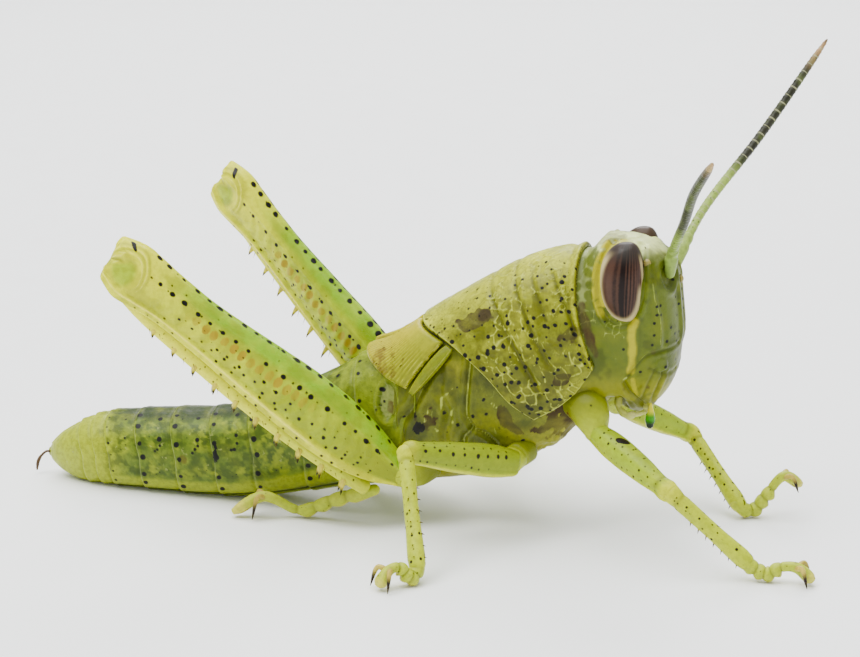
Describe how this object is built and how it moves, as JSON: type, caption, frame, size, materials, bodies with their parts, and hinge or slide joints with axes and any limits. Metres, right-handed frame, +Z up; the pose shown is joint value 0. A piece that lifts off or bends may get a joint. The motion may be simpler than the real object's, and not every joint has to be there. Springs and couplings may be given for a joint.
{
  "type": "grasshopper",
  "caption": "Life-size still model of a green grasshopper nymph, standing with its head raised, hind thighs lifted and long feelers spread.",
  "frame": {"origin": "on the floor, below the middle of the length and the width of the whole model, feelers included", "axes": "+X towards the head, +Y towards the animal's left side, +Z up"},
  "size_m": [0.044, 0.0252, 0.025],
  "materials": {
    "shell_green": "satin",
    "belly_green": "satin",
    "limb_green": "satin",
    "pale_green": "satin",
    "eye_brown": "gloss"
  },
  "bodies": {
    "root": {"abdomen_1": "belly_green", "abdomen_2": "belly_green", "abdomen_3": "belly_green", "abdomen_4": "belly_green", "abdomen_5": "belly_green", "abdomen_6": "belly_green", "abdomen_7": "belly_green", "abdomen_8": "belly_green", "abdomen_9": "belly_green", "abdomen_tip": "belly_green", "antenna_L": "pale_green", "antenna_R": "pale_green", "eye_L": "eye_brown", "eye_R": "eye_brown", "forewing_bud_L": "shell_green", "forewing_bud_R": "shell_green", "front_L_coxa": "limb_green", "front_L_femur": "limb_green", "front_L_tarsus": "limb_green", "front_L_tibia": "limb_green", "front_R_coxa": "limb_green", "front_R_femur": "limb_green", "front_R_tarsus": "limb_green", "front_R_tibia": "limb_green", "head": "shell_green", "hind_L_coxa": "limb_green", "hind_L_femur": "limb_green", "hind_L_tarsus": "limb_green", "hind_L_tibia": "limb_green", "hind_R_coxa": "limb_green", "hind_R_femur": "limb_green", "hind_R_tarsus": "limb_green", "hind_R_tibia": "limb_green", "hindwing_bud_L": "shell_green", "hindwing_bud_R": "shell_green", "labial_palp_L": "pale_green", "labial_palp_R": "pale_green", "labium": "shell_green", "labrum": "shell_green", "mandible_L": "shell_green", "mandible_R": "shell_green", "maxillary_palp_L": "pale_green", "maxillary_palp_R": "pale_green", "mesothorax": "shell_green", "metathorax": "shell_green", "mid_L_coxa": "limb_green", "mid_L_femur": "limb_green", "mid_L_tarsus": "limb_green", "mid_L_tibia": "limb_green", "mid_R_coxa": "limb_green", "mid_R_femur": "limb_green", "mid_R_tarsus": "limb_green", "mid_R_tibia": "limb_green", "pronotum": "shell_green", "prothorax": "shell_green"}
  },
  "joints": []
}
